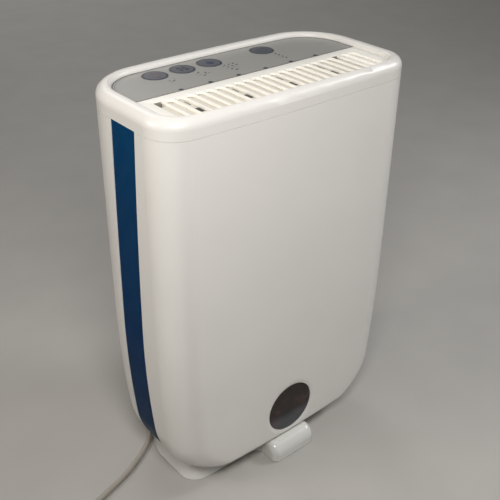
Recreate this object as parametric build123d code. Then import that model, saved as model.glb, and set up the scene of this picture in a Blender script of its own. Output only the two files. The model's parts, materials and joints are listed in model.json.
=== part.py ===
from build123d import *
import math
import os

# Desiccant dehumidifier. Millimetres, +Z up, X to the right seen from the front, front towards -Y.
# The origin is on the floor, at the middle of the housing.

# ---------------------------------------------------------------- driving dimensions
HALF_W, HALF_D = 175.5, 90.8          # half width and half depth of the housing
HEIGHT = 509.0
SEAM_Z = 488.0                        # joint between the covers and the top cap
UNDER_Z = 28.0                        # underside of the covers
STRAIGHT_Z = 240.0                    # above this height the sides are vertical
FRONT_R, REAR_R = 37.6, 71.7          # plan corner radii
BOW = 2.3                             # how far the front and rear faces bulge
SIDE_R, HAUNCH_R, HAUNCH_Z = 1500.0, 110.0, 85.0
HEM_R = 8.0                           # rounding of the covers' lower edge
FOOT_GROWTH = 28.0                    # how much the front corners open out by the lower edge
WALL = 2.6
GAP = 0.4                             # gap round a removable piece
RIM_R, LIP_R, LIP_FRONT = 10.9, 4.5, 1.4   # outer and inner rounding of the top rim, and its front

DECK_Z = 503.7                        # top of the control panel and of the grille
DECK_W, DECK_D, DECK_Y = 157.0, 76.75, -3.75
DECK_FRONT_R, DECK_REAR_R = 28.0, 50.0
PANEL_Y = -6.0                        # front edge of the control panel
FILM_T, FLOOR_T = 1.2, 3.4
FLOOR_Z = DECK_Z - FILM_T - FLOOR_T   # underside of the cap's floor

SLOTS, SLOT_PITCH, SLOT_W = 23, 12.4, 9.8
SLOT_Y0, SLOT_Y1 = -74.0, -20.0
RIB_Z = 500.8                         # underside of the grille ribs
NOTCH_SLOTS = (0, 20)                 # slots with a deep rear end
VENT_X = 121.7                        # the louvre ends here, the motor sits beyond

LOUVRE_Y, LOUVRE_Z = -22.0, 488.5     # louvre axis
LOUVRE_X0, LOUVRE_X1 = -140.5, 117.8
LOUVRE_FRONT = -73.5                  # front edge of the louvre plate
DUCT_Z = 437.3                        # underside of the outlet duct
BOARD_Z, BOARD_T = 484.0, 1.6         # control board

KEY_R, KEY_Y = 14.3, 50.2
KEYS = {"key_power": -93.3, "key_fan": -56.9, "key_humidity": -19.7, "key_timer": 58.4}
LIGHTS = [(-86, 24), (-49, 31), (-43, 26), (-49, 19), (-11, 33), (-5, 33), (1, 33), (-11, 26),
          (-5, 26), (1, 26), (-11, 19), (-9, 13), (64, 31), (64, 25), (64, 18), (64, 12)]
PEG_PITCH, PEG_Y, PEG_R = 38.4, -3.2, 2.6

WINDOW_Z, WINDOW_R = 72.7, 36.1
FLARE_W, FLARE_DEPTH = 8.0, 1.3       # soft dish round the window
STRIP_T, STRIP_DEPTH = 1.2, 1.5
SPLIT_Y = -6.0                        # the covers meet under the side strips

FAN_X, FAN_Z, FAN_R = 0.0, 290.0, 85.0
ROTOR_Z, ROTOR_Y0, ROTOR_Y1 = 300.0, -14.0, 10.0
MODULE, RIM_TEETH, PINION_TEETH = 2.5, 96, 14
PINION_ANGLE = 140.0
REGEN_X, REGEN_Z = 132.0, 205.0

TANK_W, TANK_Y0, TANK_Y1, TANK_Z0, TANK_Z1 = 95.0, -78.0, 66.0, 42.0, 118.0
TANK_DOOR_W, TANK_DOOR_Z0, TANK_DOOR_Z1 = 99.0, 40.5, 127.0
HANDLE_X, HANDLE_Y, HANDLE_RISE, HANDLE_REACH = 66.0, 20.0, 4.2, 21.0
FLOAT_X, FLOAT_Y, FLOAT_Z = -45.0, -18.0, 108.0      # pivot of the float arm
BLOCK_Y, BLOCK_Z0, BLOCK_Z1 = -42.0, 78.0, 94.0
FILTER_W, FILTER_Z0, FILTER_Z1 = 105.0, 190.0, 440.0

BASE_W, BASE_D, BASE_BOW = 144.0, 67.0, 3.5
TONGUE_W, TONGUE_Y = 35.0, 103.5      # half width and reach of the front tongue
REAR_TONGUE_W = 24.0
TONGUE_TOP, TONGUE_R, TONGUE_END_R, NECK = 26.5, 16.0, 8.5, 13.0
HOLLOW_W, HOLLOW_D = 122.0, 46.0      # half sizes of the hollow under the base
FOOT_H = 1.0                          # the rubber pads carry the base this high
SLOPE = 11.0                          # how far the base tapers in over its height

CORD_R = 3.5
CORD_EXIT = (-44.5, 62.5, 14.0)
COIL_X, COIL_Y, COIL_R, COIL_ROWS, COIL_LAYERS = -290.0, -75.4, 40.0, 3, 2

os.makedirs("parts", exist_ok=True)


# ---------------------------------------------------------------- helpers
def box(x0, x1, y0, y1, z0, z1):
    return Pos((x0 + x1) / 2, (y0 + y1) / 2, (z0 + z1) / 2) * Box(x1 - x0, y1 - y0, z1 - z0)


def post(x, y, r, z0, z1):
    """Cylinder along Z."""
    return Pos(x, y, (z0 + z1) / 2) * Cylinder(r, z1 - z0)


def drum(x, z, r, y0, y1):
    """Cylinder along Y."""
    return Pos(x, (y0 + y1) / 2, z) * Rot(90, 0, 0) * Cylinder(r, y1 - y0)


def rod(y, z, r, x0, x1):
    """Cylinder along X."""
    return Pos((x0 + x1) / 2, y, z) * Rot(0, 90, 0) * Cylinder(r, x1 - x0)


def along_y(sketch, y0, y1):
    """A sketch drawn in X and Z, given depth from y0 to y1."""
    return extrude(Plane.XZ.offset(-y1) * sketch, y1 - y0)


def along_x(sketch, x0, x1):
    """A sketch drawn in Y and Z, given width from x0 to x1."""
    return extrude(Plane.YZ.offset(x0) * sketch, x1 - x0)


def rounded(x0, x1, z0, z1, r):
    return Pos((x0 + x1) / 2, (z0 + z1) / 2) * RectangleRounded(x1 - x0, z1 - z0, r)


def polygon(points):
    return make_face(Polyline(*points, close=True))


def save(node, *solids):
    """Write one node, made of one solid or of a group of separate solids."""
    flat = [s for item in solids for s in item.solids()]
    shape = flat[0] if len(flat) == 1 else Compound(children=flat)
    export_step(shape, f"parts/{node}.step")


def half_corner(half_w, half_d, r, bow):
    """Corner centre, its tangent point on the bowed face, and its middle, for the +X, +Y quarter."""
    chord = half_w - r
    bow_r = (chord ** 2 + bow ** 2) / (2 * bow)
    bow_y = half_d - bow_r
    centre = (chord, bow_y + math.sqrt((bow_r - r) ** 2 - chord ** 2))
    scale = bow_r / (bow_r - r)
    start = (centre[0] * scale, bow_y + (centre[1] - bow_y) * scale)
    mid_angle = math.atan2(start[1] - centre[1], start[0] - centre[0]) / 2
    middle = (centre[0] + r * math.cos(mid_angle), centre[1] + r * math.sin(mid_angle))
    return centre, start, middle


def plan(half_w, half_d, front_r, rear_r, z=0.0, bow=BOW):
    """Plan outline: straight sides, bowed front and rear, tangent corners."""
    fc, fs, fm = half_corner(half_w, half_d, front_r, bow)
    rc, rs, rm = half_corner(half_w, half_d, rear_r, bow)
    edges = [
        ThreePointArc((-fs[0], -fs[1]), (0, -half_d), (fs[0], -fs[1])),
        ThreePointArc((fs[0], -fs[1]), (fm[0], -fm[1]), (half_w, -fc[1])),
        Line((half_w, -fc[1]), (half_w, rc[1])),
        ThreePointArc((half_w, rc[1]), rm, rs),
        ThreePointArc(rs, (0, half_d), (-rs[0], rs[1])),
        ThreePointArc((-rs[0], rs[1]), (-rm[0], rm[1]), (-half_w, rc[1])),
        Line((-half_w, rc[1]), (-half_w, -fc[1])),
        ThreePointArc((-half_w, -fc[1]), (-fm[0], -fm[1]), (-fs[0], -fs[1])),
    ]
    return Pos(0, 0, z) * Face(Wire(edges))


def side_inset(z):
    """How far the side stands in from the full width at height z: a long arc, then a tighter haunch."""
    if z >= STRAIGHT_Z:
        return 0.0
    if z >= HAUNCH_Z:
        return SIDE_R - math.sqrt(SIDE_R ** 2 - (STRAIGHT_Z - z) ** 2)
    sine = (STRAIGHT_Z - HAUNCH_Z) / SIDE_R
    at_haunch = SIDE_R - math.sqrt(SIDE_R ** 2 - (STRAIGHT_Z - HAUNCH_Z) ** 2)
    lower = sine + (HAUNCH_Z - z) / HAUNCH_R
    return at_haunch + HAUNCH_R * (math.sqrt(1 - sine ** 2) - math.sqrt(1 - lower ** 2))


def housing(inset, top_z):
    """The covers' outer shape, stepped in by inset all over, as one closed solid up to top_z."""
    def level(z):
        drop = max(0.0, (HAUNCH_Z - z) / (HAUNCH_Z - UNDER_Z))
        front_r = FRONT_R - inset + FOOT_GROWTH * drop ** 3
        return plan(HALF_W - inset - side_inset(z), HALF_D - inset, front_r, REAR_R - inset, z)

    def rise(z0, z1, steps=3):
        return loft([level(z0 + (z1 - z0) * i / steps) for i in range(steps + 1)])

    haunch = rise(UNDER_Z + inset, HAUNCH_Z)
    haunch = fillet(haunch.faces().sort_by(Axis.Z)[0].edges(), HEM_R - inset)
    return haunch + rise(HAUNCH_Z, STRAIGHT_Z) + extrude(level(STRAIGHT_Z), top_z - STRAIGHT_Z)


def deck(grow=0.0, z=0.0):
    """Outline of the recessed deck in the top."""
    face = plan(DECK_W + grow, DECK_D + grow, DECK_FRONT_R + grow, DECK_REAR_R + grow, z, BOW * 0.85)
    return Pos(0, DECK_Y, 0) * face


# ---------------------------------------------------------------- covers
outer = housing(0, SEAM_Z - 0.3)
inner = housing(WALL, SEAM_Z + 20)
snug = housing(WALL + 0.15, SEAM_Z + 5)
shell = outer - inner


def strip_region(depth, clear=0.0):
    """Where a side strip lies, as a block over the left side and outward from the given depth."""
    front = ThreePointArc((-36 - clear, SEAM_Z), (-26.8 - clear, 330), (-24 - clear, 30))
    rear = ThreePointArc((8 + clear, SEAM_Z), (15 + clear, 330), (18 + clear, 30))
    sides = [front, Line(front @ 1, rear @ 1), rear, Line(rear @ 0, front @ 0)]
    block = along_x(make_face(sides), -HALF_W - 5, -HALF_W + 70)
    return block - housing(depth, SEAM_Z + 5)


strip_left = (strip_region(STRIP_DEPTH) & housing(STRIP_DEPTH - STRIP_T, SEAM_Z - 0.5)) \
    - box(-HALF_W - 9, -HALF_W + 90, -60, 60, 0, UNDER_Z + 3)
strip_left = strip_left.solids().sort_by(SortBy.VOLUME)[-1]
strip_seat = strip_region(STRIP_DEPTH + 0.02, 0.25)
save("side_strip_left", strip_left)
save("side_strip_right", mirror(strip_left, Plane.YZ))
shell = shell - strip_seat - mirror(strip_seat, Plane.YZ)


# Window in the front, a lens held by a soft ring from inside
window_face = drum(0, WINDOW_Z, WINDOW_R, -HALF_D - 5, -HALF_D + 20)
front_cover = shell & box(-200, 200, -200, SPLIT_Y - 0.15, 0, 600)
flare_mid = (WINDOW_R + FLARE_W / 2, -HALF_D + FLARE_DEPTH / 4)
flare = make_face([
    ThreePointArc((WINDOW_R + FLARE_W, -HALF_D), flare_mid, (WINDOW_R, -HALF_D + FLARE_DEPTH)),
    Polyline((WINDOW_R, -HALF_D + FLARE_DEPTH), (WINDOW_R - 2, -HALF_D + FLARE_DEPTH),
             (WINDOW_R - 2, -HALF_D - 4), (WINDOW_R + FLARE_W, -HALF_D - 4), (WINDOW_R + FLARE_W, -HALF_D))])
front_cover = front_cover - window_face - Pos(0, 0, WINDOW_Z) * revolve(flare, Axis.Y)
lens = drum(0, WINDOW_Z, WINDOW_R - 0.8, -HALF_D + FLARE_DEPTH, -HALF_D + 2.6)
lens += drum(0, WINDOW_Z, WINDOW_R + 3, -HALF_D + WALL + 0.4, -HALF_D + WALL + 2) & snug
lens += drum(0, WINDOW_Z, WINDOW_R - 0.8, -HALF_D + 2.6, -HALF_D + WALL + 0.4)
seal = drum(0, WINDOW_Z, WINDOW_R + 5, -HALF_D + WALL + 0.4, -HALF_D + WALL + 4)
seal -= drum(0, WINDOW_Z, WINDOW_R - 3, -HALF_D, -HALF_D + 10)
seal -= drum(0, WINDOW_Z, WINDOW_R + 3, -HALF_D, -HALF_D + WALL + 2)
save("window_lens", lens)
save("window_seal", seal & snug)

# Rear cover: openings for the filter, the tank's door and a hand grip
rear_cover = shell & box(-200, 200, SPLIT_Y + 0.15, 200, 0, 600)
filter_hole = along_y(rounded(-FILTER_W, FILTER_W, FILTER_Z0, FILTER_Z1, 14), 30, HALF_D + 5)
tank_hole = along_y(rounded(-TANK_DOOR_W, TANK_DOOR_W, TANK_DOOR_Z0, TANK_DOOR_Z1, 10), 20, HALF_D + 5)
grip_hole = along_y(rounded(-46, 46, 455, 478, 9), 50, HALF_D + 5)
rear_cover = rear_cover - filter_hole - tank_hole - grip_hole

grip = along_y(rounded(-48.5, 48.5, 452.5, 480.5, 11), HALF_D - 27, HALF_D - WALL - 0.6)
grip -= along_y(rounded(-46, 46, 455, 478, 9), HALF_D - 25, HALF_D + 5)
save("hand_grip", grip & snug)

# Screws hold the rear cover to long bosses on the chassis
SCREW_X, SCREW_HEIGHTS, SCREW_SEAT = 148.0, (162.0, 420.0), 60.0
screws = []
for x in (-SCREW_X, SCREW_X):
    for z in SCREW_HEIGHTS:
        well = drum(x, z, 8, SCREW_SEAT - 3, HALF_D) & outer
        rear_cover = rear_cover + well - drum(x, z, 5.5, SCREW_SEAT, HALF_D + 5)
        rear_cover = rear_cover - drum(x, z, 2.3, SCREW_SEAT - 5, SCREW_SEAT + 1)
        head = drum(x, z, 4.2, SCREW_SEAT, SCREW_SEAT + 2.6)
        head -= drum(x, z, 1.4, SCREW_SEAT + 1.2, SCREW_SEAT + 4)
        screws.append(head + drum(x, z, 2.0, SCREW_SEAT - 16, SCREW_SEAT))
save("cover_screws", *screws)
save("front_cover", front_cover)
save("rear_cover", rear_cover)

# Filter cover: a removable panel of the rear, louvred, with the mesh clipped behind it
panel_shape = along_y(rounded(-FILTER_W + GAP, FILTER_W - GAP, FILTER_Z0 + GAP, FILTER_Z1 - GAP, 13.6),
                      30, HALF_D + 5)
filter_cover = (outer - inner) & panel_shape
INLET_ROWS, INLET_PITCH, INLET_H = 19, 12.0, 7.0
for row in range(INLET_ROWS):
    z = (FILTER_Z0 + FILTER_Z1) / 2 + (row - (INLET_ROWS - 1) / 2) * INLET_PITCH
    for x in (-48, 48):
        filter_cover -= along_y(rounded(x - 43, x + 43, z - INLET_H / 2, z + INLET_H / 2, 3.4), 30, 120)
for x in (-80, 80):
    for z in (FILTER_Z0 + 4.5, FILTER_Z1 - 4.5):
        filter_cover += box(x - 6, x + 6, 79.2, HALF_D - WALL - 0.1, z - 1, z + 1) & outer
save("filter_cover", filter_cover)
mesh_frame = box(-98, 98, 76, 79, FILTER_Z0 + 3, FILTER_Z1 - 3)
panes = [box(x0, x1, 77, 78, FILTER_Z0 + 8, FILTER_Z1 - 8) for x0, x1 in ((-93, -3), (3, 93))]
for pane in panes:
    mesh_frame -= pane + Pos(0, -1, 0) * pane + Pos(0, 1, 0) * pane
save("filter_frame", mesh_frame)
save("filter_mesh", *panes)

# ---------------------------------------------------------------- top cap and what sits in it
cap_block = extrude(plan(HALF_W, HALF_D, FRONT_R, REAR_R, SEAM_Z), HEIGHT - SEAM_Z)
cap_block = fillet(cap_block.faces().sort_by(Axis.Z)[-1].edges(), RIM_R)
cap = cap_block - extrude(deck(0, DECK_Z - FILM_T), 20)


def lip_level(angle, z=None):
    """Deck outline, widened along the quarter round of the lip. The front widens less."""
    out = LIP_R * (1 - math.cos(math.radians(angle)))
    front = out * LIP_FRONT / LIP_R
    mean = (out + front) / 2
    height = z or HEIGHT - LIP_R * (1 - math.sin(math.radians(angle)))
    face = plan(DECK_W + out, DECK_D + mean, DECK_FRONT_R + mean, DECK_REAR_R + out, height, BOW * 0.85)
    return Pos(0, DECK_Y + (out - front) / 2, 0) * face


cap -= loft([lip_level(0), lip_level(25), lip_level(50), lip_level(72), lip_level(90, HEIGHT + 0.25)])
hollow = extrude(plan(HALF_W - WALL, HALF_D - WALL, FRONT_R - WALL, REAR_R - WALL, SEAM_Z - 1),
                 HEIGHT - WALL - SEAM_Z + 1)
hollow = fillet(hollow.faces().sort_by(Axis.Z)[-1].edges(), RIM_R - WALL)
hollow -= extrude(deck(WALL, FLOOR_Z), 20)
cap = cap - hollow


def ring_plug(inset, z0, z1):
    """A slab that follows the housing's plan, stepped in by inset."""
    return extrude(plan(HALF_W - inset, HALF_D - inset, FRONT_R - inset, REAR_R - inset, z0), z1 - z0)


SPIGOT_T = 2.2
spigot = ring_plug(WALL + 0.3, SEAM_Z - 4, SEAM_Z + 0.5) + ring_plug(WALL - 0.2, SEAM_Z + 0.4, SEAM_Z + 4)
cap += spigot - ring_plug(WALL + 0.3 + SPIGOT_T, SEAM_Z - 5, SEAM_Z + 5)
GRILLE_SEAT_Z = DECK_Z - 2.5
front_half = box(-200, 200, -200, PANEL_Y - 0.3, GRILLE_SEAT_Z, 520)
cap = cap - (front_half & extrude(deck(0, GRILLE_SEAT_Z), DECK_Z - GRILLE_SEAT_Z))
VENT = (-146.5, 146.5, -75.5, -13.5)
vent_hole = box(*VENT, 400, 520) & extrude(deck(-2.0, 400), 120)
cap = cap - vent_hole
for x in KEYS.values():
    cap -= post(x, KEY_Y, KEY_R + 0.25, FLOOR_Z - 5, DECK_Z + 1)
for x, y in LIGHTS:
    cap -= post(x, y, 1.6, FLOOR_Z - 5, DECK_Z + 1)
peg_places = [((i - 2.5) * PEG_PITCH, PEG_Y) for i in range(6)]
for x, y in peg_places:
    cap -= post(x, y, 1.5, FLOOR_Z - 5, DECK_Z + 1)
for x, y in ((-104, 14), (-104, 32), (104, 14), (104, 60), (20, 60)):
    cap += post(x, y, 3, BOARD_Z + BOARD_T, FLOOR_Z + 1)
save("top_cap", cap)

film = extrude(deck(-0.15, DECK_Z - FILM_T + 0.05), FILM_T - 0.05) & box(-200, 200, PANEL_Y, 200, 480, 520)
for x in KEYS.values():
    film -= post(x, KEY_Y, KEY_R + 0.25, 480, 520)
for x, y in LIGHTS:
    film -= post(x, y, 1.35, 480, 520)
for x, y in peg_places:
    film -= post(x, y, PEG_R + 0.05, 480, 520)
save("control_panel", film)
save("indicator_lights", *[post(x, y, 1.3, 488, DECK_Z + 0.1) for x, y in LIGHTS])
save("panel_pegs", *[post(x, y, PEG_R, DECK_Z - FILM_T + 0.05, DECK_Z + 0.3)
                     + post(x, y, 1.4, FLOOR_Z - 2, DECK_Z - FILM_T + 0.05) for x, y in peg_places])

switches = []
SWITCH_Z = 488.2                      # top of the switch bodies on the board
for node, x in KEYS.items():
    cap_top = fillet(post(x, KEY_Y, KEY_R, 494.5, DECK_Z + 0.6).faces().sort_by(Axis.Z)[-1].edges(), 0.5)
    key = cap_top - post(x, KEY_Y, KEY_R - 1.4, 490, DECK_Z - 1.4)
    key += post(x, KEY_Y, KEY_R + 1.8, 494.5, FLOOR_Z - 0.2) - post(x, KEY_Y, KEY_R - 1.4, 490, 510)
    key += post(x, KEY_Y, 3.0, 490.2, DECK_Z - 1)
    save(node, key)
    switches.append(box(x - 3, x + 3, KEY_Y - 3, KEY_Y + 3, BOARD_Z + BOARD_T, SWITCH_Z))
    switches.append(post(x, KEY_Y, 1.7, SWITCH_Z, SWITCH_Z + 1.1))
board = box(-108, 108, 8, 67, BOARD_Z, BOARD_Z + BOARD_T)
chip = box(12, 30, 18, 36, BOARD_Z + BOARD_T, BOARD_Z + 3.6)
connectors = [box(x, x + 14, 10, 16, BOARD_Z - 7, BOARD_Z) for x in (-100, -40, 20, 84)]
control_board = board + chip
for piece in switches + connectors:
    control_board += piece
save("control_board", control_board)

# Outlet grille: a slotted insert with thin upright ribs, and a floor where the louvre ends
grille_plate = extrude(deck(-0.15, GRILLE_SEAT_Z), DECK_Z - GRILLE_SEAT_Z)
grille_plate = grille_plate & box(-200, 200, -200, PANEL_Y - 0.4, 480, 520)
slot_field = box(-SLOTS * SLOT_PITCH / 2 + 1.3, SLOTS * SLOT_PITCH / 2 - 1.3, SLOT_Y0, SLOT_Y1, 480, 520)
grille = grille_plate - slot_field
for i in range(1, SLOTS):
    x = (i - SLOTS / 2) * SLOT_PITCH
    half = (SLOT_PITCH - SLOT_W) / 2
    grille += box(x - half, x + half, SLOT_Y0 - 1, SLOT_Y1 + 1, RIB_Z, DECK_Z)
for i in NOTCH_SLOTS:
    x = (i + 0.5 - SLOTS / 2) * SLOT_PITCH
    grille += box(x - SLOT_W / 2, x + SLOT_W / 2, SLOT_Y1 + 0.5, SLOT_Y1 + 2, RIB_Z - 5.5, RIB_Z + 1)
pan = box(VENT_X, 142, SLOT_Y0, SLOT_Y1, RIB_Z - 1.5, RIB_Z)
pan += box(140.5, 142, SLOT_Y0, SLOT_Y1, RIB_Z - 1.5, GRILLE_SEAT_Z + 1)
grille += pan & extrude(deck(-2.3, 480), 40)
save("outlet_grille", grille)

# Louvre: one plate under the ribs, turning on two pins below its rear edge
DUCT_X0, DUCT_X1, DUCT_Y0, DUCT_Y1 = -147.0, 121.5, -77.8, -12.5
PLATE_TOP = RIB_Z - 0.4
plate = box(LOUVRE_X0, LOUVRE_X1, LOUVRE_FRONT, LOUVRE_Y + 2.4, PLATE_TOP - 1.9, PLATE_TOP)
for i in (2, 7, 12, 17):
    x = (i + 0.5 - SLOTS / 2) * SLOT_PITCH
    plate -= box(x - SLOT_W / 2, x + SLOT_W / 2, -60, -48, 490, 510)
    plate -= box(x + 2.0, x + 3.6, -38, -26, 490, 510)
for i in NOTCH_SLOTS:
    x = (i + 0.5 - SLOTS / 2) * SLOT_PITCH
    plate -= box(x - SLOT_W / 2, x + SLOT_W / 2, SLOT_Y1 - 6, SLOT_Y1 + 5, 490, 510)
louvre = plate
for x in (LOUVRE_X0, LOUVRE_X1 - 3):
    arm = polygon([(LOUVRE_Y - 12, PLATE_TOP), (LOUVRE_Y - 4, LOUVRE_Z), (LOUVRE_Y + 4, LOUVRE_Z),
                   (LOUVRE_Y - 1, PLATE_TOP)])
    louvre += along_x(arm, x, x + 3) + rod(LOUVRE_Y, LOUVRE_Z, 4, x, x + 3)
louvre += rod(LOUVRE_Y, LOUVRE_Z, 2, LOUVRE_X0 - 5, LOUVRE_X0)
louvre += rod(LOUVRE_Y, LOUVRE_Z, 2, LOUVRE_X1, DUCT_X1)
save("louvre_flap", louvre)

# Outlet duct: a box between the fan scroll and the grille, its end walls carry the louvre pins
duct = box(DUCT_X0, DUCT_X1, DUCT_Y0, DUCT_Y1, DUCT_Z, FLOOR_Z)
duct -= box(DUCT_X0 + 5, DUCT_X1 - 3, DUCT_Y0 + 2, DUCT_Y1 - 2, DUCT_Z + 2, 520)
duct -= box(-123, 115, -74, -28, DUCT_Z - 5, DUCT_Z + 5)
duct -= rod(LOUVRE_Y, LOUVRE_Z, 2.05, DUCT_X0 - 1, DUCT_X1 + 1)
save("outlet_duct", duct)
louvre_motor = rod(LOUVRE_Y, LOUVRE_Z - 4, 11, DUCT_X1, DUCT_X1 + 15)
louvre_motor += box(DUCT_X1, DUCT_X1 + 1.4, LOUVRE_Y - 16, LOUVRE_Y + 9, LOUVRE_Z - 8, LOUVRE_Z - 1)
louvre_motor += box(DUCT_X1 + 4, DUCT_X1 + 14, LOUVRE_Y + 8, LOUVRE_Y + 14, LOUVRE_Z - 11, LOUVRE_Z + 2)
save("louvre_motor", louvre_motor)

# ---------------------------------------------------------------- air path
CHASSIS_Y0, CHASSIS_Y1 = -24.0, -21.0
chassis = box(-162, 162, CHASSIS_Y0, CHASSIS_Y1, 150, 435) - drum(FAN_X, FAN_Z, 68, -40, 0)
EAR_Y0, EAR_Y1 = 53.0, 56.0            # ears that carry the condenser
for x in (-SCREW_X, SCREW_X):
    for z in SCREW_HEIGHTS:
        chassis += drum(x, z, 5, CHASSIS_Y1 - 0.5, SCREW_SEAT - 3.1)
    chassis += box(x - 3, x + 3, EAR_Y0, EAR_Y1, 164, 180) + box(x - 3, x + 3, EAR_Y0, EAR_Y1, 414, 418)
    for z in SCREW_HEIGHTS:
        chassis -= drum(x, z, 2.0, 30, SCREW_SEAT + 5)
chassis += box(FLOAT_X - 6, FLOAT_X + 6, CHASSIS_Y0, CHASSIS_Y1, 132, 152)
chassis += box(FLOAT_X - 6, FLOAT_X + 6, -66, CHASSIS_Y1, 132, 134)
PITCH_R = MODULE * RIM_TEETH / 2
PINION_R = MODULE * PINION_TEETH / 2
pinion_x = (PITCH_R + PINION_R) * math.cos(math.radians(PINION_ANGLE))
pinion_z = ROTOR_Z + (PITCH_R + PINION_R) * math.sin(math.radians(PINION_ANGLE))
BRACKET_Y = 12.0
across = math.radians(PINION_ANGLE + 90)
for side in (-26, 26):
    chassis += drum(pinion_x + side * math.cos(across), pinion_z + side * math.sin(across), 3.5,
                    CHASSIS_Y1 - 0.5, BRACKET_Y)
save("chassis", chassis)

SCROLL_Y0, SCROLL_Y1, SCROLL_T = -82.0, CHASSIS_Y0, 2.0


def scroll_face(step):
    """Fan housing outline, stepped in by step, open-topped."""
    left, low, right = -125 + step, 177 + step, 95 - step
    big, small = (113 - step) * math.sqrt(0.5), (107 - step) * math.sqrt(0.5)
    arc_left = ThreePointArc((left, 290), (-12 - big, 290 - big), (-12, low))
    arc_right = ThreePointArc((-12, low), (-12 + small, 284 - small), (right, 284))
    top = DUCT_Z if step == 0 else DUCT_Z + 5
    rim = Polyline((right, 284), (right, 312), (117 - step, 425), (117 - step, top), (left, top), (left, 290))
    return make_face([arc_left, arc_right, rim])


scroll = along_y(scroll_face(0), SCROLL_Y0, SCROLL_Y1)
scroll -= along_y(scroll_face(SCROLL_T), SCROLL_Y0 + SCROLL_T, SCROLL_Y1 - SCROLL_T)
scroll -= drum(FAN_X, FAN_Z, 66, SCROLL_Y1 - 4, SCROLL_Y1 + 4)
scroll -= drum(FAN_X, FAN_Z, 30.5, SCROLL_Y0 - 2, SCROLL_Y0 + 4)
save("fan_scroll", scroll)

fan_motor = drum(FAN_X, FAN_Z, 30, -84, -66) + drum(FAN_X, FAN_Z, 3, -66, -40)
fan_motor += drum(FAN_X, FAN_Z, 38, -80, -77)
save("fan_motor", fan_motor)

impeller = drum(FAN_X, FAN_Z, FAN_R, -62, -60)
impeller += drum(FAN_X, FAN_Z, 11, -62, -38) - drum(FAN_X, FAN_Z, 3.06, -63, -39)
impeller -= drum(FAN_X, FAN_Z, 3.06, -63, -39)
BLADES = 30
for i in range(BLADES):
    blade = Pos(FAN_X, 0, FAN_Z) * Rot(0, 360 / BLADES * i, 0) * Pos(78, -46, 0) * Rot(0, 35, 0) \
        * Box(13, 29, 1.2)
    impeller += blade
impeller += drum(FAN_X, FAN_Z, FAN_R, -33, -31) - drum(FAN_X, FAN_Z, 72, -34, -30)
save("fan_impeller", impeller)

# Desiccant wheel in a toothed rim, turned by a pinion
def toothed(x, z, teeth, first, y0, y1):
    """Spur gear blank with tapered teeth, the first one centred on the angle first, in degrees."""
    pitch_r = MODULE * teeth / 2
    root, tip = pitch_r - 1.0 * MODULE, pitch_r + 0.8 * MODULE
    points = []
    for i in range(teeth):
        for radius, half in ((root, 0.56 * MODULE), (pitch_r, 0.62 * MODULE), (tip, 0.30 * MODULE)):
            points.append((i, radius, -half))
        for radius, half in ((tip, 0.30 * MODULE), (pitch_r, 0.62 * MODULE), (root, 0.56 * MODULE)):
            points.append((i, radius, half))
    outline = []
    for i, radius, across in points:
        angle = math.radians(first + 360 / teeth * i) + across / radius
        outline.append((x + radius * math.cos(angle), z + radius * math.sin(angle)))
    return along_y(polygon(outline), y0, y1)


RIM_INNER = 112.5
rim = toothed(0, ROTOR_Z, RIM_TEETH, PINION_ANGLE, -8, 4)
rim += drum(0, ROTOR_Z, 115.5, ROTOR_Y0, ROTOR_Y1)
rim -= drum(0, ROTOR_Z, RIM_INNER, -40, 40)
save("rotor_rim", rim)
wheel = drum(0, ROTOR_Z, RIM_INNER - 0.2, ROTOR_Y0 + 1, ROTOR_Y1 - 1) - drum(0, ROTOR_Z, 12, -40, 40)
save("desiccant_wheel", wheel)
hub = drum(0, ROTOR_Z, 11.9, ROTOR_Y0, ROTOR_Y1) - drum(0, ROTOR_Z, 5.06, -40, 40)
save("rotor_hub", hub)
axle = drum(0, ROTOR_Z, 5.0, -25, 32)
axle += drum(0, ROTOR_Z, 9, ROTOR_Y0 - 2.4, ROTOR_Y0 - 0.4)
SPIDER_Y0, SPIDER_Y1 = CHASSIS_Y1, -17.2
spider = drum(0, ROTOR_Z, 14, SPIDER_Y0, SPIDER_Y1)
for angle in (30, 150, 270):
    arm = Pos(0, (SPIDER_Y0 + SPIDER_Y1) / 2, ROTOR_Z) * Rot(0, -angle, 0) * Pos(49, 0, 0) * Box(74, 3.8, 9)
    spider += arm
save("rotor_spindle", spider + (axle & box(-20, 20, SPIDER_Y0, 40, 200, 400)))

pinion = toothed(pinion_x, pinion_z, PINION_TEETH, PINION_ANGLE + 180 + 180 / PINION_TEETH, -8, 4)
pinion += drum(pinion_x, pinion_z, 8, 4, 9)
pinion -= drum(pinion_x, pinion_z, 3.05, -40, 40)
save("drive_pinion", pinion)
rotor_motor = drum(pinion_x, pinion_z, 3.0, -9, 12) + drum(pinion_x, pinion_z, 20, 10, 28)
rotor_motor += Pos(pinion_x, BRACKET_Y + 0.75, pinion_z) * Rot(0, 90 - PINION_ANGLE, 0) * Box(60, 1.5, 10)
save("rotor_motor", rotor_motor)

# Heater box over a sixth of the wheel, fed by a small blower
HEATER_Y0, HEATER_Y1 = 12.5, 32.0


def pie(r0, r1, a0, a1):
    """Sector of the wheel's face between two radii and two angles."""
    c, s = math.cos, math.sin
    a0, a1 = math.radians(a0), math.radians(a1)
    am = (a0 + a1) / 2

    def at(r, a):
        return (r * c(a), ROTOR_Z + r * s(a))
    return make_face([Line(at(r0, a0), at(r1, a0)), ThreePointArc(at(r1, a0), at(r1, am), at(r1, a1)),
                      Line(at(r1, a1), at(r0, a1)), ThreePointArc(at(r0, a1), at(r0, am), at(r0, a0))])


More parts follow.
